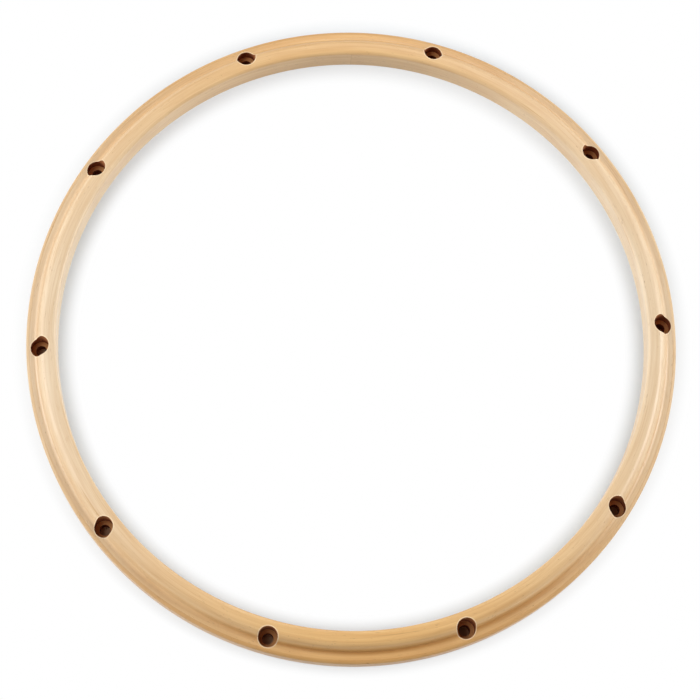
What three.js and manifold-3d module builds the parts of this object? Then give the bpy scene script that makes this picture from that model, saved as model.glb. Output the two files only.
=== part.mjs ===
// A wooden drum hoop: strips of maple bent round, glued face to face, turned to a stepped section and drilled for
// tension rods. Millimetres, +Z up. The origin is the middle of the hoop's underside, and the first rod hole lies on +Y.
import * as THREE from "three";
import { mergeVertices } from "three/addons/utils/BufferGeometryUtils.js";
import Module from "manifold-3d";

const wasm = await Module();
wasm.setup();

// Plies, from the lip outwards. The lip plies stop above the drumhead, and the next one is the recess wall
const plyNames = [
  "lip_ply_inner",
  "lip_ply_outer",
  "recess_ply",
  "core_ply_a",
  "core_ply_b",
  "cove_ply",
  "shelf_ply",
  "outer_ply",
];
const lipPlyCount = 2;
const lipRadius = 178.6;
const plyThickness = 2.22;
const glueLine = 0.12;

// Turned section: a striking rim, a steep flank with a cove at its foot, and an outer shelf
const hoopHeight = 25.4;
const recessDepth = 6;
const shelfHeight = 16;
const crownInset = 3.4;
const crownFall = 0.7;
const rimWidth = 8.6;
const flankRun = 4;

// Rounds of the section's corners
const lipEase = 0.8;
const rimInnerRound = 2;
const rimOuterRound = 5;
const coveRound = 2.6;
const edgeRound = 2.6;
const footRound = 1.2;
const recessEase = 0.8;

// Rod holes: a bore for the rod, and a counterbore whose floor is the seat of the rod's head
const rodCount = 10;
const rodInset = 9.9;
const boreRadius = 3.25;
const counterboreRadius = 5.8;
const rodSeatHeight = 7.5;

// Scarf joints, where the two ends of one strip meet on a slant
const scarfRatio = 6;
const rodsPerScarf = 1;

// Facets and cuts
const facetsPerRod = 10;
const holeFacets = 16;
const facetDepth = 0.08;
const overrun = 1;

const outerRadius = lipRadius + plyNames.length * (plyThickness + glueLine) - glueLine;
const recessRadius = lipRadius + lipPlyCount * (plyThickness + glueLine);
const rodCircleRadius = lipRadius + rodInset;
const rodSpacing = (2 * Math.PI) / rodCount;
const firstRodAzimuth = Math.PI / 2;

// A corner of the section, with the round that it is turned to
function corner(radius, height, round = 0) {
  return { at: new THREE.Vector2(radius, height), round };
}

// The turned line through the corners. Its first and last corners only say where it comes from and goes to
function roundedLine(corners) {
  const legs = corners.slice(1).map(({ at }, i) => at.clone().sub(corners[i].at));
  const isEnd = (i) => i === 0 || i === corners.length - 1;
  const turns = corners.map((_, i) => (isEnd(i) ? 0 : legs[i - 1].angleTo(legs[i])));
  const reaches = corners.map(({ round }, i) => round * Math.tan(turns[i] / 2));
  const shrink = (leg) => legs[leg].length() / Math.max(legs[leg].length(), reaches[leg] + reaches[leg + 1]);
  return corners.flatMap(({ at, round }, i) => {
    if (isEnd(i)) return [];
    if (round === 0) return [at];
    const radius = round * Math.min(shrink(i - 1), shrink(i));
    const side = Math.sign(legs[i - 1].cross(legs[i]));
    const along = legs[i - 1].clone().normalize();
    const start = at.clone().addScaledVector(along, -radius * Math.tan(turns[i] / 2));
    const centre = start.clone().add(new THREE.Vector2(-along.y, along.x).multiplyScalar(side * radius));
    const steps = Math.ceil(turns[i] / (2 * Math.acos(1 - Math.min(1, facetDepth / radius))));
    const arcPoint = (_, step) => start.clone().rotateAround(centre, (side * turns[i] * step) / steps);
    return Array.from({ length: steps + 1 }, arcPoint);
  });
}

const topLine = roundedLine([
  corner(lipRadius, recessDepth),
  corner(lipRadius, hoopHeight, rimInnerRound),
  corner(lipRadius + crownInset, hoopHeight),
  corner(lipRadius + rimWidth, hoopHeight - crownFall, rimOuterRound),
  corner(lipRadius + rimWidth + flankRun, shelfHeight, coveRound),
  corner(outerRadius, shelfHeight, edgeRound),
  corner(outerRadius, 0),
]);

const lipUnderside = roundedLine([
  corner(lipRadius, hoopHeight),
  corner(lipRadius, recessDepth, lipEase),
  corner(recessRadius, recessDepth),
]);

const footLine = roundedLine([
  corner(recessRadius, recessDepth),
  corner(recessRadius, 0, recessEase),
  corner(outerRadius, 0, footRound),
  corner(outerRadius, hoopHeight),
]);

// The point of a line at a radius. Past its ends the line runs on level
function pointAt(line, radius) {
  const next = line.findIndex(({ x }) => x > radius);
  if (next < 1) return new THREE.Vector2(radius, line.at(next).y);
  const [from, to] = [line[next - 1], line[next]];
  return from.clone().lerp(to, (radius - from.x) / (to.x - from.x));
}

// The stretch of a line between two radii
function stretch(line, inner, outer) {
  const between = line.filter(({ x }) => x > inner && x < outer);
  return [pointAt(line, inner), ...between, pointAt(line, outer)];
}

// A closed outline turned about the hoop's axis
function turned(outline, facets) {
  return new THREE.LatheGeometry(outline, facets).rotateX(Math.PI / 2);
}

function solidOf(geometry) {
  const bare = geometry.clone().deleteAttribute("normal").deleteAttribute("uv");
  const { attributes, index } = mergeVertices(bare);
  const mesh = new wasm.Mesh({
    numProp: 3,
    vertProperties: attributes.position.array,
    triVerts: new Uint32Array(index.array),
  });
  return new wasm.Manifold(mesh);
}

function geometryOf(solid) {
  const { vertProperties, triVerts } = solid.getMesh();
  const geometry = new THREE.BufferGeometry();
  geometry.setAttribute("position", new THREE.BufferAttribute(vertProperties, 3));
  geometry.setIndex(new THREE.BufferAttribute(triVerts, 1));
  geometry.computeVertexNormals();
  return geometry;
}

// One ply as it leaves the lathe: the slice of the section between its two faces
function plyRing(ply) {
  const inner = lipRadius + ply * (plyThickness + glueLine);
  const outer = inner + plyThickness;
  const underside = stretch(ply < lipPlyCount ? lipUnderside : footLine, inner, outer);
  const top = stretch(topLine, inner, outer).reverse();
  return turned([...underside, ...top, underside[0]], facetsPerRod * rodCount);
}

// What the drill takes away for one rod: the bore, and the counterbore from the seat upwards
function rodHole(rod) {
  const above = hoopHeight + overrun;
  const outline = [
    new THREE.Vector2(0, -overrun),
    new THREE.Vector2(boreRadius, -overrun),
    new THREE.Vector2(boreRadius, rodSeatHeight),
    new THREE.Vector2(counterboreRadius, rodSeatHeight),
    new THREE.Vector2(counterboreRadius, above),
    new THREE.Vector2(0, above),
  ];
  return turned(outline, holeFacets).translate(0, rodCircleRadius, 0).rotateZ(rod * rodSpacing);
}

// The slanted glue line between a strip's ends, halfway between two rods and away from its neighbours' joints
function scarfJoint(ply) {
  const slant = Math.atan(1 / scarfRatio);
  const radius = lipRadius + ply * (plyThickness + glueLine) + plyThickness / 2;
  const azimuth = firstRodAzimuth + (ply * rodsPerScarf + 1 / 2) * rodSpacing;
  const length = (plyThickness + 2 * overrun) / Math.sin(slant);
  return new THREE.BoxGeometry(glueLine, length, hoopHeight + 2 * overrun)
    .rotateZ(-slant)
    .translate(radius, 0, hoopHeight / 2)
    .rotateZ(azimuth);
}

// The turn from the first rod to the middle of a solid, anticlockwise
function turnFromFirstRod(solid) {
  const { min, max } = solid.boundingBox();
  const azimuth = Math.atan2(min[1] + max[1], min[0] + max[0]);
  return THREE.MathUtils.euclideanModulo(azimuth - firstRodAzimuth, 2 * Math.PI);
}

// Lacquered maple. The lip and the outside are face veneers, paler than the plies between them
function maple(ply) {
  const isFace = ply === 0 || ply === plyNames.length - 1;
  return new THREE.MeshStandardMaterial({ color: isFace ? 0xe8c99b : 0xdfbb87, roughness: 0.42, metalness: 0 });
}

function piece(name, solid, ply) {
  const mesh = new THREE.Mesh(geometryOf(solid), maple(ply));
  mesh.name = name;
  return mesh;
}

const rodHoles = Array.from({ length: rodCount }, (_, rod) => solidOf(rodHole(rod)));
const drilling = rodHoles.reduce((all, hole) => all.add(hole));
const hoop = new THREE.Group();
hoop.name = "drum_hoop";

// A ply that the bores cut right through is left in lengths, and its scarf joint goes with the first hole
plyNames.forEach((name, ply) => {
  const drilled = solidOf(plyRing(ply)).subtract(drilling);
  const lengths = drilled.decompose().sort((a, b) => turnFromFirstRod(a) - turnFromFirstRod(b));
  if (lengths.length === 1) {
    hoop.add(piece(name, drilled.subtract(solidOf(scarfJoint(ply))), ply));
    return;
  }
  lengths.forEach((length, i) => {
    const number = String(i + 1).padStart(2, "0");
    hoop.add(piece(`${name}_segment_${number}`, length, ply));
  });
});

export default hoop;
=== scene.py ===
import math

import bpy
from mathutils import Matrix, Vector


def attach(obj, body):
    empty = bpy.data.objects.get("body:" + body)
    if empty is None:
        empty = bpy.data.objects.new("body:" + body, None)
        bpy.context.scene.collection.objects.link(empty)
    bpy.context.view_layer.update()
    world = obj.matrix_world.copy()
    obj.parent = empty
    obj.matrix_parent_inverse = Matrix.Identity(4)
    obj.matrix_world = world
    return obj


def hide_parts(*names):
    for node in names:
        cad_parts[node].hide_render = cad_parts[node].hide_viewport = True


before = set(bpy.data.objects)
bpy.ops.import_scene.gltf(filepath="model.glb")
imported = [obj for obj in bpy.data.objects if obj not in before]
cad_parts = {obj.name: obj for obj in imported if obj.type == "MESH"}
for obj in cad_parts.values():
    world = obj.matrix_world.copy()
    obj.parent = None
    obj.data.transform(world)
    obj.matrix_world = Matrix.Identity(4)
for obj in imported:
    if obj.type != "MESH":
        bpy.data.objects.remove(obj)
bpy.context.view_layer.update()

# Camera
# The photograph looks down on the hoop from in front, turned a little in its own plane.
# Its place was found from the ten hole mouths, which lie 20.4 mm above the floor.

MM = 0.001
FRAME_WIDTH = 700
FOCAL_LENGTH = 2223.1
CAMERA_DISTANCE = 1340.5 * MM
CAMERA_ELEVATION = math.radians(76.34)
CAMERA_ROLL = math.radians(9.11)
CAMERA_TURN = math.radians(6.51)
AIM = Vector((-0.5, -9.37, 0)) * MM
MOUTH_HEIGHT = 20.4 * MM

back = Vector((0, -math.cos(CAMERA_ELEVATION), math.sin(CAMERA_ELEVATION)))
up = Vector((0, math.sin(CAMERA_ELEVATION), math.cos(CAMERA_ELEVATION)))
right = Vector((1, 0, 0))
tilted_right = right * math.cos(CAMERA_ROLL) + up * math.sin(CAMERA_ROLL)
tilted_up = up * math.cos(CAMERA_ROLL) - right * math.sin(CAMERA_ROLL)
stance = Matrix((tilted_right, tilted_up, back)).transposed().to_4x4()
stance.translation = AIM + back * CAMERA_DISTANCE

camera = bpy.data.objects.new("camera", bpy.data.cameras.new("camera"))
camera.data.lens = camera.data.sensor_width * FOCAL_LENGTH / FRAME_WIDTH
turn = Matrix.Rotation(CAMERA_TURN, 4, "Z")
camera.matrix_world = Matrix.Translation((0, 0, MOUTH_HEIGHT)) @ turn @ stance
bpy.context.scene.collection.objects.link(camera)
bpy.context.scene.camera = camera


# Inner lip ply
# A strip of maple veneer bent into a ring, its two ends scarfed together on a slant.
# It is the first of eight glued face to face, and its inner face is the wall of the lip.

PLIES = 8
LIP_PLIES = 2
CORE_PLIES = (3, 4)
LIP_RADIUS = 178.6
PLY_PITCH = 2.34
GLUE_LINE = 0.12
OUTER_RADIUS = LIP_RADIUS + PLIES * PLY_PITCH - GLUE_LINE
RECESS_RADIUS = LIP_RADIUS + LIP_PLIES * PLY_PITCH

HOOP_HEIGHT = 25.4
RECESS_DEPTH = 6
SHELF_HEIGHT = 16
CROWN_INSET = 3.4
CROWN_FALL = 0.7
RIM_WIDTH = 8.6
FLANK_RUN = 4
LIP_EASE = 0.8
RIM_INNER_ROUND = 2
RIM_OUTER_ROUND = 5
COVE_ROUND = 2.6
EDGE_ROUND = 2.6
FOOT_ROUND = 1.2
RECESS_EASE = 0.8

RODS = 10
ROD_SPACING = 2 * math.pi / RODS
FIRST_ROD = math.pi / 2
ROD_CIRCLE = 188.5
BORE_RADIUS = 3.25
COUNTERBORE_RADIUS = 5.8
ROD_SEAT = 7.5
SCARF_RATIO = 6
RODS_PER_SCARF = 1

STEPS_PER_ROD = 60
ROUND_STEP = math.radians(3)
HOLE_SIDES = 64
SHARP_EDGE = math.radians(25)

# Corners of the turned section as radius, height and round, all in millimetres
TOP_CORNERS = [
    (LIP_RADIUS, RECESS_DEPTH, 0),
    (LIP_RADIUS, HOOP_HEIGHT, RIM_INNER_ROUND),
    (LIP_RADIUS + CROWN_INSET, HOOP_HEIGHT, 0),
    (LIP_RADIUS + RIM_WIDTH, HOOP_HEIGHT - CROWN_FALL, RIM_OUTER_ROUND),
    (LIP_RADIUS + RIM_WIDTH + FLANK_RUN, SHELF_HEIGHT, COVE_ROUND),
    (OUTER_RADIUS, SHELF_HEIGHT, EDGE_ROUND),
    (OUTER_RADIUS, 0, 0),
]
LIP_UNDERSIDE_CORNERS = [
    (LIP_RADIUS, HOOP_HEIGHT, 0),
    (LIP_RADIUS, RECESS_DEPTH, LIP_EASE),
    (RECESS_RADIUS, RECESS_DEPTH, 0),
]
FOOT_CORNERS = [
    (RECESS_RADIUS, RECESS_DEPTH, 0),
    (RECESS_RADIUS, 0, RECESS_EASE),
    (OUTER_RADIUS, 0, FOOT_ROUND),
    (OUTER_RADIUS, HOOP_HEIGHT, 0),
]


def turned_line(corners):
    """Points along a line through the corners, each turned to its round. The ends only aim it"""
    points = [Vector((radius, height)) for radius, height, _ in corners]
    legs = [b - a for a, b in zip(points, points[1:])]
    turns = [0, *(abs(a.angle_signed(b)) for a, b in zip(legs, legs[1:])), 0]
    reaches = [corner[2] * math.tan(turn / 2) for corner, turn in zip(corners, turns)]
    fits = [leg.length / max(leg.length, a + b) for leg, a, b in zip(legs, reaches, reaches[1:])]
    line = []
    for i in range(1, len(corners) - 1):
        bend = corners[i][2] * min(fits[i - 1], fits[i])
        if bend == 0:
            line.append(points[i])
            continue
        along = legs[i - 1].normalized()
        side = math.copysign(1, legs[i - 1].cross(legs[i]))
        start = points[i] - along * bend * math.tan(turns[i] / 2)
        middle = start + Vector((-along.y, along.x)) * side * bend
        steps = math.ceil(turns[i] / ROUND_STEP)
        for step in range(steps + 1):
            turn = Matrix.Rotation(side * turns[i] * step / steps, 2)
            line.append(middle + turn @ (start - middle))
    return line


def height_at(line, radius):
    """The height of a line at a radius. Past its ends the line runs on level"""
    for a, b in zip(line, line[1:]):
        if a.x <= radius < b.x:
            return a.y + (b.y - a.y) * (radius - a.x) / (b.x - a.x)
    return line[0].y if radius <= line[0].x else line[-1].y


def stretch(line, inner, outer):
    """The stretch of a line between two radii"""
    between = [point for point in line if inner < point.x < outer]
    ends = [Vector((radius, height_at(line, radius))) for radius in (inner, outer)]
    return [ends[0], *between, ends[1]]


def ply_section(ply):
    """The slice of the hoop's section that one ply takes up, as a closed outline"""
    inner = LIP_RADIUS + ply * PLY_PITCH
    outer = min(inner + PLY_PITCH, OUTER_RADIUS)
    underside = turned_line(LIP_UNDERSIDE_CORNERS if ply < LIP_PLIES else FOOT_CORNERS)
    top = turned_line(TOP_CORNERS)
    return stretch(underside, inner, outer) + stretch(top, inner, outer)[::-1]


class Wire:
    """A value on its way through a tree of nodes. Sums written with it become Math nodes"""

    def __init__(self, socket):
        self.socket = socket
        self.tree = socket.id_data

    def __getitem__(self, output):
        return Wire(self.socket.node.outputs[output])

    @staticmethod
    def node(tree, kind, settings=(), values=()):
        """A new node of a kind: its settings are made first, then its sockets filled or linked"""
        made = tree.nodes.new(kind)
        for name, value in dict(settings).items():
            setattr(made, name, value)
        for name, value in dict(values).items():
            for item in value if isinstance(value, list) else [value]:
                if isinstance(item, Wire):
                    tree.links.new(item.socket, made.inputs[name])
                else:
                    made.inputs[name].default_value = item
        return Wire(made.outputs[0]) if made.outputs else None

    def math(self, operation, *others):
        """A Math node on this value and any others"""
        values = dict(enumerate([self, *others]))
        return Wire.node(self.tree, "ShaderNodeMath", {"operation": operation}, values)

    def math_after(self, operation, first):
        """The same with a value or a number before this one"""
        return Wire.node(self.tree, "ShaderNodeMath", {"operation": operation}, {0: first, 1: self})

    def between(self, low, high):
        """0 below one value and 1 above the other, with a smooth run from one to the other"""
        settings = {"interpolation_type": "SMOOTHSTEP"}
        values = {"Value": self, "From Min": low, "From Max": high}
        return Wire.node(self.tree, "ShaderNodeMapRange", settings, values)

    def blend(self, first, second):
        """One colour where the value is 0, another where it is 1, and a mixture between"""
        settings = {"data_type": "RGBA", "clamp_factor": True}
        mix = Wire.node(self.tree, "ShaderNodeMix", settings, {0: self, 6: first, 7: second})
        return Wire(mix.socket.node.outputs[2])

    def __add__(self, other):
        return self.math("ADD", other)

    def __sub__(self, other):
        return self.math("SUBTRACT", other)

    def __mul__(self, other):
        return self.math("MULTIPLY", other)

    def __truediv__(self, other):
        return self.math("DIVIDE", other)

    def __rsub__(self, other):
        return self.math_after("SUBTRACT", other)

    def __rtruediv__(self, other):
        return self.math_after("DIVIDE", other)

    __radd__ = __add__
    __rmul__ = __mul__


def bend_and_drill_tree():
    """Bends a section into a ring, or into the length between two rods, and drills the rod holes"""
    tree = bpy.data.node_groups.new("bend_and_drill", "GeometryNodeTree")
    inputs = {}
    for name, kind in {
        "Section": "NodeSocketGeometry",
        "Whole Ring": "NodeSocketBool",
        "Bend Radius": "NodeSocketFloat",
        "Start": "NodeSocketFloat",
        "Sweep": "NodeSocketFloat",
        "Steps": "NodeSocketInt",
        "Rods": "NodeSocketInt",
        "First Rod": "NodeSocketFloat",
        "Rod Circle": "NodeSocketFloat",
        "Bore Radius": "NodeSocketFloat",
        "Counterbore Radius": "NodeSocketFloat",
        "Rod Seat": "NodeSocketFloat",
        "Drill Reach": "NodeSocketFloat",
        "Wood": "NodeSocketMaterial",
    }.items():
        socket = tree.interface.new_socket(name=name, in_out="INPUT", socket_type=kind)
        inputs[name] = socket.identifier
    tree.interface.new_socket(name="Ply", in_out="OUTPUT", socket_type="NodeSocketGeometry")
    given = Wire(tree.nodes.new("NodeGroupInput").outputs[0])

    def node(kind, settings=(), values=()):
        return Wire.node(tree, kind, settings, values)

    position = node("GeometryNodeInputPosition")
    corner = node("ShaderNodeSeparateXYZ", values={0: position})
    across, down = corner["X"] - given["Bend Radius"], corner["Z"] * -1
    flat = node("ShaderNodeCombineXYZ", values={"X": across, "Y": down})
    moved = {"Geometry": given["Section"], "Position": flat}
    laid = node("GeometryNodeSetPosition", values=moved)
    outline = node("GeometryNodeMeshToCurve", values={"Mesh": laid})
    form = {"Resolution": given["Steps"], "Radius": given["Bend Radius"]}
    reach = {"Start Angle": given["Start"], "Sweep Angle": given["Sweep"]}
    ring = node("GeometryNodeCurvePrimitiveCircle", values=form)
    arc = node("GeometryNodeCurveArc", values={**form, **reach})
    either = {"Switch": given["Whole Ring"], "False": arc, "True": ring}
    path = node("GeometryNodeSwitch", {"input_type": "GEOMETRY"}, either)
    upright = node("GeometryNodeSetCurveNormal", {"mode": "Z_UP"}, {"Curve": path})
    swept = {"Curve": upright, "Profile Curve": outline, "Fill Caps": True}
    bent = node("GeometryNodeCurveToMesh", values=swept)

    evenly = {"Vertices": given["Rods"], "Radius": given["Rod Circle"]}
    rod_circle = node("GeometryNodeMeshCircle", values=evenly)
    first_rod = node("ShaderNodeCombineXYZ", values={"Z": given["First Rod"]})
    turned = {"Geometry": rod_circle, "Rotation": first_rod}
    rod_places = node("GeometryNodeTransform", values=turned)

    def drill(radius, low, high):
        """One drill of the radius, from a low height to a high one, at every rod"""
        size = {"Vertices": HOLE_SIDES, "Radius": radius, "Depth": high - low}
        bit = node("GeometryNodeMeshCylinder", values=size)
        middle = node("ShaderNodeCombineXYZ", values={"Z": (high + low) / 2})
        raised = node("GeometryNodeTransform", values={"Geometry": bit, "Translation": middle})
        at_rods = {"Points": rod_places, "Instance": raised}
        placed = node("GeometryNodeInstanceOnPoints", values=at_rods)
        return node("GeometryNodeRealizeInstances", values={"Geometry": placed})

    # The bore runs on a little above the seat, so that the two holes meet
    below = given["Rod Seat"] - given["Drill Reach"]
    above = given["Rod Seat"] + given["Drill Reach"]
    bores = drill(given["Bore Radius"], below, given["Rod Seat"] + given["Bore Radius"])
    counterbores = drill(given["Counterbore Radius"], given["Rod Seat"], above)
    cut = {"operation": "DIFFERENCE", "solver": "MANIFOLD"}
    meshes = {"Mesh 1": bent, "Mesh 2": [bores, counterbores]}
    drilled = node("GeometryNodeMeshBoolean", cut, meshes)

    faces = {"Geometry": drilled, "Shade Smooth": True}
    smooth = node("GeometryNodeSetShadeSmooth", {"domain": "FACE"}, faces)
    edge = node("GeometryNodeInputMeshEdgeAngle")
    sharp = node("FunctionNodeCompare", {"operation": "GREATER_THAN"}, {0: edge, 1: SHARP_EDGE})
    edges = {"Geometry": smooth, "Selection": sharp, "Shade Smooth": False}
    eased = node("GeometryNodeSetShadeSmooth", {"domain": "EDGE"}, edges)
    real = node("GeometryNodeRealizeInstances", values={"Geometry": eased})
    wooden = node("GeometryNodeSetMaterial", values={"Geometry": real, "Material": given["Wood"]})
    tree.links.new(wooden.socket, tree.nodes.new("NodeGroupOutput").inputs[0])
    return tree, inputs


bend_and_drill, bend_inputs = bend_and_drill_tree()


def bent_ply(name, ply, wood, length=None):
    """A drilled ply: the whole ring, or one length from rod to rod, counted from the first rod"""
    outline = [(point.x * MM, 0, point.y * MM) for point in reversed(ply_section(ply))]
    edges = [(i, (i + 1) % len(outline)) for i in range(len(outline))]
    section = bpy.data.meshes.new(f"{name}_section")
    section.from_pydata(outline, edges, [])
    piece = bpy.data.objects.new(name, section)
    bpy.context.scene.collection.objects.link(piece)
    whole = length is None
    modifier = piece.modifiers.new("bend_and_drill", "NODES")
    modifier.node_group = bend_and_drill
    for label, value in {
        "Whole Ring": whole,
        "Bend Radius": (LIP_RADIUS + ply * PLY_PITCH) * MM,
        "Start": 0.0 if whole else FIRST_ROD + length * ROD_SPACING,
        "Sweep": ROD_SPACING,
        # An arc is open, so it has one point more than it has steps
        "Steps": STEPS_PER_ROD * RODS if whole else STEPS_PER_ROD + 1,
        "Rods": RODS,
        "First Rod": FIRST_ROD,
        "Rod Circle": ROD_CIRCLE * MM,
        "Bore Radius": BORE_RADIUS * MM,
        "Counterbore Radius": COUNTERBORE_RADIUS * MM,
        "Rod Seat": ROD_SEAT * MM,
        "Drill Reach": HOOP_HEIGHT * MM,
        "Wood": wood,
    }.items():
        modifier[bend_inputs[label]] = value
    bent = piece.evaluated_get(bpy.context.evaluated_depsgraph_get())
    mesh = bpy.data.meshes.new_from_object(bent)
    piece.modifiers.clear()
    piece.data = mesh
    mesh.name = name
    return piece


def linear(red, green, blue):
    """A colour as it is seen, from 0 to 255, as the light that it sends back"""
    def channel(value):
        value /= 255
        return value / 12.92 if value <= 0.04045 else ((value + 0.055) / 1.055) ** 2.4
    return (channel(red), channel(green), channel(blue), 1)


# The cream sapwood colours also carry painted sheen where the wood faces the soft boxes
PALE_SAPWOOD = linear(232, 210, 179)
WARM_SAPWOOD = linear(214, 183, 144)
PALE_HEARTWOOD = linear(228, 184, 122)
WARM_HEARTWOOD = linear(210, 159, 98)
RING_MAPLE = linear(190, 144, 88)
FLECK = linear(146, 98, 60)
GLUE = linear(182, 136, 82)
# Painted shade for the hole walls, darker deeper down
SHADED_HOLE_MOUTH = linear(150, 86, 36)
SHADED_HOLE_DEEP = linear(138, 64, 20)
DRILLED_SEAT = linear(236, 174, 108)
# A deep amber for the painted shade in the cove
COVE_SHADE = linear(181, 120, 48)
# A pale painted highlight round each hole mouth
PAINTED_HALO = linear(250, 226, 188)

# How much of each colour shows, where 1 is all of it
RING_SHARE = 0.14
GLUE_SHARE = 0.14
SEAM_SHARE = 0.5
MINERAL_SHARE = 0.5
FLECK_SHARE = 0.5
# Painted shade in the cove, a share all round and more on the front side
COVE_SHADE_SHARE = 0.1
FRONT_SHADE_SHARE = 0.62
HALO_SHARE = 0.7
DRILLED_SHARE = 0.94

# How cream the wood is on the whole, how much creamer it is painted as sheen toward the soft boxes
# on either side and a little toward the back, and how far the figure moves its tone
SHEEN_BEARING = math.radians(19)
CREAM = 0.53
SHEEN_AT_ENDS = 0.44
SHEEN_BEHIND = 0.08
NOISE_MIDDLE = 0.5
STREAK_TONE = 1.3
CLOUD_TONE = 1.2
FIBRE_TONE = 0.45
SEED_STRIDE = 7.31

# Growth rings for each millimetre up and across, how far they drift, and how wide they show
RINGS_UP = 0.34
RINGS_ACROSS = 0.55
RING_DRIFT = 9
RING_LINE = (0, 0.42)

# Levels of noise from which a mark begins to show and at which it shows in full
FLECK_LEVELS = (0.73, 0.8)
FLECKED_PART_LEVELS = (0.48, 0.6)
MINERAL_LEVELS = (0.66, 0.8)
MINERAL_PART_LEVELS = (0.5, 0.66)

# Runs in millimetres over which one thing gives way to another
GLUE_EDGE = (PLY_PITCH - 0.16, PLY_PITCH - 0.08)
SEAM_EDGE = (0.05, 0.2)
HOLE_EDGE = (0.02, 0.08)
HALO_RING = (0.25, 0.8)
SEAT_EDGE = (0.05, 0.15)
SEAT_INNER_EDGE = (BORE_RADIUS, BORE_RADIUS + 0.2)
HOLE_SHADE_HEIGHTS = (11, 21)

# The height at which a hole widens, a hair below the seat so that the seat counts as drilled
WIDE_FROM = ROD_SEAT - 0.1

# Where the cove is painted with shade, and the side where that painted shade is deepest, with how
# far round it reaches as the cosine of the angle from there
COVE_RADIUS = 190.7
COVE_INNER = (COVE_RADIUS - 2.5, COVE_RADIUS)
COVE_OUTER = (COVE_RADIUS, COVE_RADIUS + 2.6)
COVE_HEIGHTS = (8, 14)
SHADED_BEARING = math.radians(-64)
SHADED_SIDE = (0.7, 1)

# The lacquer's roughness, what figure and drill add to it, and the relief that they leave
LACQUER_ROUGHNESS = 0.34
FIBRE_ROUGHNESS = 0.12
CLOUD_ROUGHNESS = 0.08
DRILLED_ROUGHNESS = 0.4
FIBRE_RELIEF = 0.7
TOOL_RELIEF = 0.5
DRILLED_RELIEF = 2
RELIEF_STRENGTH = 0.35
RELIEF_HEIGHT = 0.06


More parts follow.
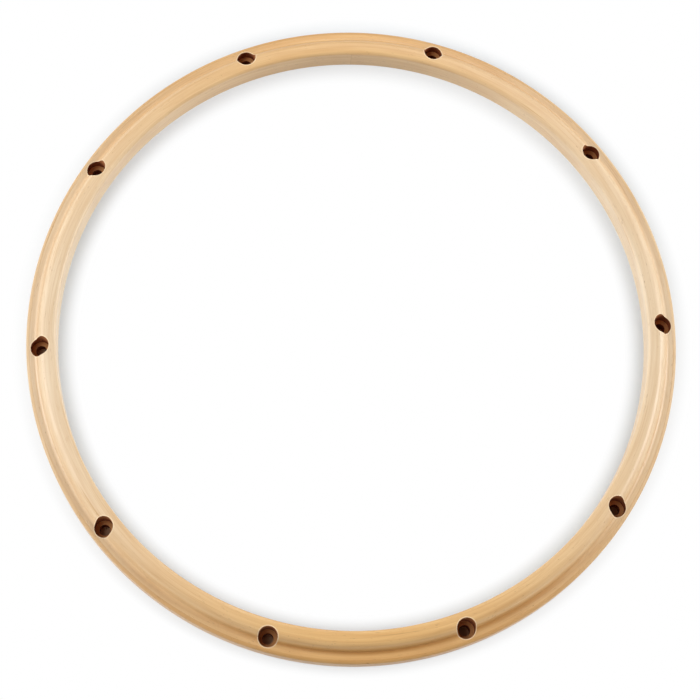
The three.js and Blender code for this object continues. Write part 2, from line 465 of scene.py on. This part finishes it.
def maple(name, ply, warmth, seed, lustre=0.36):
    """Lacquered maple of one ply: its grain runs along the strip and stops at the scarf joint"""
    wood = bpy.data.materials.new(name)
    wood.use_nodes = True
    tree = wood.node_tree
    shader = tree.nodes["Principled BSDF"]

    def node(kind, settings=(), values=()):
        return Wire.node(tree, kind, settings, values)

    # The place in millimetres, with its distance from the hoop's axis and into the ply
    place = node("ShaderNodeSeparateXYZ", values={0: node("ShaderNodeTexCoord")["Object"]})
    x, y, z = (place[axis] / MM for axis in "XYZ")
    radius = (x * x + y * y).math("SQRT")
    azimuth = y.math("ARCTAN2", x)
    inner = LIP_RADIUS + ply * PLY_PITCH
    depth = radius - inner

    # The strip is measured both ways from the place opposite its joint. The joint is slanted and
    # lies halfway between two rods, but a core ply has its joint in the first hole
    is_core = ply in CORE_PLIES
    rods_to_joint = 0 if is_core else RODS_PER_SCARF * ply + 1 / 2
    slope = 0 if is_core else SCARF_RATIO
    opposite = FIRST_ROD + rods_to_joint * ROD_SPACING + math.pi
    ahead = x * math.cos(opposite) + y * math.sin(opposite)
    aside = y * math.cos(opposite) - x * math.sin(opposite)
    slant = (radius - (inner + PLY_PITCH / 2)) * slope
    turn = aside.math("ARCTAN2", ahead) - slant / radius
    strip = turn.math("WRAP", math.pi, -math.pi)
    along = strip * radius

    def grain(length, width, shift, detail=2, roughness=0.5):
        """Noise drawn out along the strip, from 0 to 1"""
        shifted = along / length + (seed + shift) * SEED_STRIDE
        stretched = {"X": shifted, "Y": depth / width + shift, "Z": z / width}
        where = node("ShaderNodeCombineXYZ", values=stretched)
        values = {"Vector": where, "Scale": 1, "Detail": detail, "Roughness": roughness}
        return node("ShaderNodeTexNoise", {"noise_dimensions": "3D"}, values)

    # Growth rings cut at a low angle, fibres, streaks, broad clouds, flecks and mineral lines
    drift = grain(length=150, width=22, shift=1.7, detail=1)
    across_rings = z * RINGS_UP + depth * RINGS_ACROSS + drift * RING_DRIFT
    ring_lines = 1 - (across_rings * math.pi).math("SINE").math("ABSOLUTE").between(*RING_LINE)
    fibres = grain(length=26, width=0.55, shift=3.1, detail=4, roughness=0.62)
    streaks = grain(length=70, width=2.1, shift=5.3)
    clouds = grain(length=34, width=11, shift=8.9)
    flecks = grain(length=2, width=0.6, shift=11.7, detail=0).between(*FLECK_LEVELS)
    flecked_parts = grain(length=18, width=6, shift=13.9, detail=0).between(*FLECKED_PART_LEVELS)
    mineral = grain(length=48, width=0.7, shift=19.3, detail=0).between(*MINERAL_LEVELS)
    mineral_parts = grain(length=60, width=12, shift=21.1, detail=0).between(*MINERAL_PART_LEVELS)
    tool_marks = grain(length=3, width=1.4, shift=17.3)

    # Holes, found by the distance to the nearest rod
    folded = (azimuth - FIRST_ROD).math("WRAP", ROD_SPACING / 2, -ROD_SPACING / 2)
    across = radius * folded.math("COSINE") - ROD_CIRCLE
    sideways = radius * folded.math("SINE")
    from_rod = (across * across + sideways * sideways).math("SQRT")
    mouth = BORE_RADIUS + z.math("GREATER_THAN", WIDE_FROM) * (COUNTERBORE_RADIUS - BORE_RADIUS)
    in_hole = 1 - (from_rod - mouth).between(*HOLE_EDGE)
    # A painted highlight in a narrow ring round each hole mouth
    hole_halo = 1 - (from_rod - mouth).between(*HALO_RING)
    level_with_seat = 1 - (z - ROD_SEAT).math("ABSOLUTE").between(*SEAT_EDGE)
    on_seat = level_with_seat * from_rod.between(*SEAT_INNER_EDGE)

    # Painted shade in the cove, deepest on the front side, where the flank gets little light
    across_cove = radius.between(*COVE_INNER) * (1 - radius.between(*COVE_OUTER))
    in_cove = across_cove * z.between(*COVE_HEIGHTS)
    toward_shaded_side = x * math.cos(SHADED_BEARING) + y * math.sin(SHADED_BEARING)
    shaded_side = (toward_shaded_side / radius).between(*SHADED_SIDE)
    painted_cove_shade = in_cove * (COVE_SHADE_SHARE + shaded_side * FRONT_SHADE_SHARE)

    # Painted sheen: creamer toward the soft boxes at either side and a little toward the back
    from_sheen_bearing = azimuth - SHEEN_BEARING
    toward_side_boxes, toward_back = (from_sheen_bearing * 2).math("COSINE"), from_sheen_bearing.math("SINE")
    cream_and_sheen = CREAM + toward_side_boxes * SHEEN_AT_ENDS + toward_back * SHEEN_BEHIND
    streaked, clouded, fibred = (noise - NOISE_MIDDLE for noise in (streaks, clouds, fibres))
    tone = streaked * STREAK_TONE + clouded * CLOUD_TONE + fibred * FIBRE_TONE + warmth
    pale = cream_and_sheen.blend(PALE_HEARTWOOD, PALE_SAPWOOD)
    warm = cream_and_sheen.blend(WARM_HEARTWOOD, WARM_SAPWOOD)
    color = tone.blend(pale, warm)
    color = (ring_lines * RING_SHARE).blend(color, RING_MAPLE)
    if ply < PLIES - 1:
        color = (depth.between(*GLUE_EDGE) * GLUE_SHARE).blend(color, GLUE)
    seam = 1 - ((math.pi - strip.math("ABSOLUTE")) * radius).between(*SEAM_EDGE)
    color = (seam * SEAM_SHARE).blend(color, GLUE)
    color = (mineral * mineral_parts * MINERAL_SHARE).blend(color, RING_MAPLE)
    color = (flecks * flecked_parts * FLECK_SHARE).blend(color, FLECK)
    # Painted shade in the cove
    color = painted_cove_shade.blend(color, COVE_SHADE)
    # Painted highlight round each hole mouth
    color = (hole_halo * HALO_SHARE).blend(color, PAINTED_HALO)
    # The hole walls are painted with shade, darker deeper down, and the seat keeps its own paler
    # colour
    hole_wall_shade = z.between(*HOLE_SHADE_HEIGHTS).blend(SHADED_HOLE_DEEP, SHADED_HOLE_MOUTH)
    drilled = on_seat.blend(hole_wall_shade, DRILLED_SEAT)
    color = (in_hole * DRILLED_SHARE).blend(color, drilled)
    tree.links.new(color.socket, shader.inputs["Base Color"])

    from_figure = fibred * FIBRE_ROUGHNESS + clouded * CLOUD_ROUGHNESS
    roughness = LACQUER_ROUGHNESS + from_figure + in_hole * DRILLED_ROUGHNESS
    tree.links.new(roughness.socket, shader.inputs["Roughness"])
    shader.inputs["Specular IOR Level"].default_value = lustre
    height = fibres * FIBRE_RELIEF + tool_marks * TOOL_RELIEF + in_hole * fibres * DRILLED_RELIEF
    bump = {"Height": height, "Strength": RELIEF_STRENGTH, "Distance": RELIEF_HEIGHT * MM}
    relief = node("ShaderNodeBump", values=bump)
    tree.links.new(relief.socket, shader.inputs["Normal"])
    return wood


def finished(piece, node):
    """Puts a piece in its place on the hoop, in front of its node"""
    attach(piece, "root")
    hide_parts(node)


lip_inner_maple = maple("maple_lip_inner", ply=0, warmth=0.30, seed=1)
lip_inner_ply = bent_ply("turned_lip_ply_inner", ply=0, wood=lip_inner_maple)
finished(lip_inner_ply, "lip_ply_inner")

# Outer lip ply
# The second strip of maple, glued round the first. Like the first it stops above the
# drumhead, and its underside presses the head's flesh hoop down.

lip_outer_maple = maple("maple_lip_outer", ply=1, warmth=0.38, seed=2)
lip_outer_ply = bent_ply("turned_lip_ply_outer", ply=1, wood=lip_outer_maple)
finished(lip_outer_ply, "lip_ply_outer")

# Recess ply
# The third strip of maple, glued round the lip and the first of full height. Its inner face
# is the wall of the recess over the drumhead, and the counterbores bite into its outer face.

recess_maple = maple("maple_recess", ply=2, warmth=0.33, seed=3)
recess_ply = bent_ply("turned_recess_ply", ply=2, wood=recess_maple)
finished(recess_ply, "recess_ply")

# Core plies
# The fourth and fifth strips of maple, glued in on the circle of rods, where drilling cuts
# each into ten lengths. They carry the outer edge of the striking rim and the flank's head.

for letter, ply, warmth, seed in zip("ab", CORE_PLIES, (0.42, 0.35), (7, 8)):
    core_maple = maple(f"maple_core_{letter}", ply, warmth, seed)
    for length in range(RODS):
        node = f"core_ply_{letter}_segment_{length + 1:02d}"
        finished(bent_ply(f"turned_{node}", ply, core_maple, length), node)

# Cove ply
# The sixth strip of maple, glued round the core, carries the foot of the cove between flank
# and shelf. The counterbores cut it down to a narrow band under each rod seat.

cove_maple = maple("maple_cove", ply=5, warmth=0.44, seed=9)
cove_ply = bent_ply("turned_cove_ply", ply=5, wood=cove_maple)
finished(cove_ply, "cove_ply")

# Shelf ply
# The seventh strip of maple, glued between the cove ply and the outer ply. Its top is turned
# to the flat of the shelf and notched by the counterbores.

shelf_maple = maple("maple_shelf", ply=6, warmth=0.40, seed=10)
shelf_ply = bent_ply("turned_shelf_ply", ply=6, wood=shelf_maple)
finished(shelf_ply, "shelf_ply")

# Outer ply
# The eighth strip is the maple face veneer of the outside wall, glued on last, rounded over
# onto the shelf and eased at the foot. Its lacquer is rubbed down further than the rest.

outer_maple = maple("maple_outer", ply=7, warmth=0.9, seed=11, lustre=0.1)
outer_ply = bent_ply("turned_outer_ply", ply=7, wood=outer_maple)
finished(outer_ply, "outer_ply")

# Floor and light
# A white table that keeps the hoop's soft shadow, a low soft box on either side, a high one
# on the left, one behind and a weak one in front, where the flank is lit by the shelf.

TABLE_SIZE = 12
TABLE_WHITE = (0.73, 0.79, 0.84, 1)
# Under the hoop, seen only through the bores, the table is painted with the warm light that the
# wood throws back
BOUNCE_UNDER_HOOP = linear(236, 196, 158)
HOOP_EDGE = (-0.5, 0.5)

# How white the table is beside the hoop, what that loses or gains by bearing, and how many
# millimetres from the hoop it is white altogether
GLOW_OUTSIDE = 0.75
LESS_AT_ENDS = 0.43
LESS_BEHIND = 0.31
GLOW_INSIDE = 0.13
MORE_AT_ENDS = 0.27
MORE_BEHIND = 0.3
LESS_ON_THE_RIGHT = 0.12
SHADOW_OUTSIDE = 12
SHADOW_BEHIND = 4
SHADOW_INSIDE = (3, 16)

table_mesh = bpy.data.meshes.new("table")
half = TABLE_SIZE / 2
table_corners = [(-half, -half, 0), (half, -half, 0), (half, half, 0), (-half, half, 0)]
table_mesh.from_pydata(table_corners, [], [(0, 1, 2, 3)])
table = bpy.data.objects.new("table", table_mesh)
bpy.context.scene.collection.objects.link(table)


def camera_sees(tree):
    """1 where the camera looks, straight or by way of gloss or glass, and 0 for other light"""
    rays = Wire.node(tree, "ShaderNodeLightPath")
    straight_or_gloss = rays["Is Camera Ray"].math("MAXIMUM", rays["Is Glossy Ray"])
    return straight_or_gloss.math("MAXIMUM", rays["Is Transmission Ray"])


table_white = bpy.data.materials.new("table_white")
table_white.use_nodes = True
tree = table_white.node_tree
tree.nodes.clear()
here = Wire.node(tree, "ShaderNodeTexCoord")["Object"]
place = Wire.node(tree, "ShaderNodeSeparateXYZ", values={0: here})
radius = (place["X"] * place["X"] + place["Y"] * place["Y"]).math("SQRT") / MM
behind = place["Y"] / MM / radius
to_the_right = place["X"] / MM / radius

# Beyond the hoop's shadow the table is white. The shadow is softer outside in front and
# inside behind
outside = radius - OUTER_RADIUS
inside = RECESS_RADIUS - radius
is_outside = outside.between(*HOOP_EDGE)
is_inside = inside.between(*HOOP_EDGE)
least_outside = GLOW_OUTSIDE - behind * (behind * LESS_AT_ENDS + LESS_BEHIND)
more_inside = behind * (behind * MORE_AT_ENDS + MORE_BEHIND)
least_inside = GLOW_INSIDE + more_inside - to_the_right * LESS_ON_THE_RIGHT
clear_outside = (outside / (SHADOW_OUTSIDE + behind * SHADOW_BEHIND)).between(0, 1)
clear_inside = inside.between(*SHADOW_INSIDE)
glow_outside = is_outside * (least_outside + clear_outside * (1 - least_outside))
glow_inside = is_inside * (least_inside + clear_inside * (1 - least_inside))
white_share = camera_sees(tree) * (glow_outside + glow_inside)
# Under the hoop the table takes the painted warm bounce
bare = (is_outside + is_inside).blend(BOUNCE_UNDER_HOOP, TABLE_WHITE)
matt = Wire.node(tree, "ShaderNodeBsdfDiffuse", values={"Color": bare})
glow = Wire.node(tree, "ShaderNodeEmission", values={"Strength": 1})
surface = Wire.node(tree, "ShaderNodeMixShader", values={0: white_share, 1: matt, 2: glow})
Wire.node(tree, "ShaderNodeOutputMaterial", values={"Surface": surface})
table_mesh.materials.append(table_white)

STUDIO_LIGHT = 0.03

world = bpy.data.worlds.new("studio")
world.use_nodes = True
bpy.context.scene.world = world
tree = world.node_tree
tree.nodes.clear()
strength = camera_sees(tree) * (1 - STUDIO_LIGHT) + STUDIO_LIGHT
white = {"Color": (1, 1, 1, 1), "Strength": strength}
surround = Wire.node(tree, "ShaderNodeBackground", values=white)
Wire.node(tree, "ShaderNodeOutputWorld", values={"Surface": surround})

SOFT_BOX_DISTANCE = 3.5
SOFT_BOX_SIDE = 2


def soft_box(name, bearing, elevation, power):
    """A square soft box that faces the hoop from a bearing and an elevation, both in degrees"""
    bearing, elevation = math.radians(bearing), math.radians(elevation)
    level = math.cos(elevation)
    toward = Vector((level * math.cos(bearing), level * math.sin(bearing), math.sin(elevation)))
    lamp = bpy.data.objects.new(name, bpy.data.lights.new(name, "AREA"))
    lamp.data.size = SOFT_BOX_SIDE
    lamp.data.energy = power
    lamp.location = toward * SOFT_BOX_DISTANCE
    lamp.rotation_mode = "QUATERNION"
    lamp.rotation_quaternion = (-toward).to_track_quat("-Z", "Y")
    bpy.context.scene.collection.objects.link(lamp)


soft_box("soft_box_left", bearing=195, elevation=20, power=94)
soft_box("soft_box_left_high", bearing=195, elevation=60, power=36)
soft_box("soft_box_right", bearing=15, elevation=20, power=105)
soft_box("soft_box_behind", bearing=90, elevation=38, power=48)
soft_box("soft_box_front", bearing=270, elevation=30, power=12)

bpy.context.scene.view_settings.view_transform = "Standard"
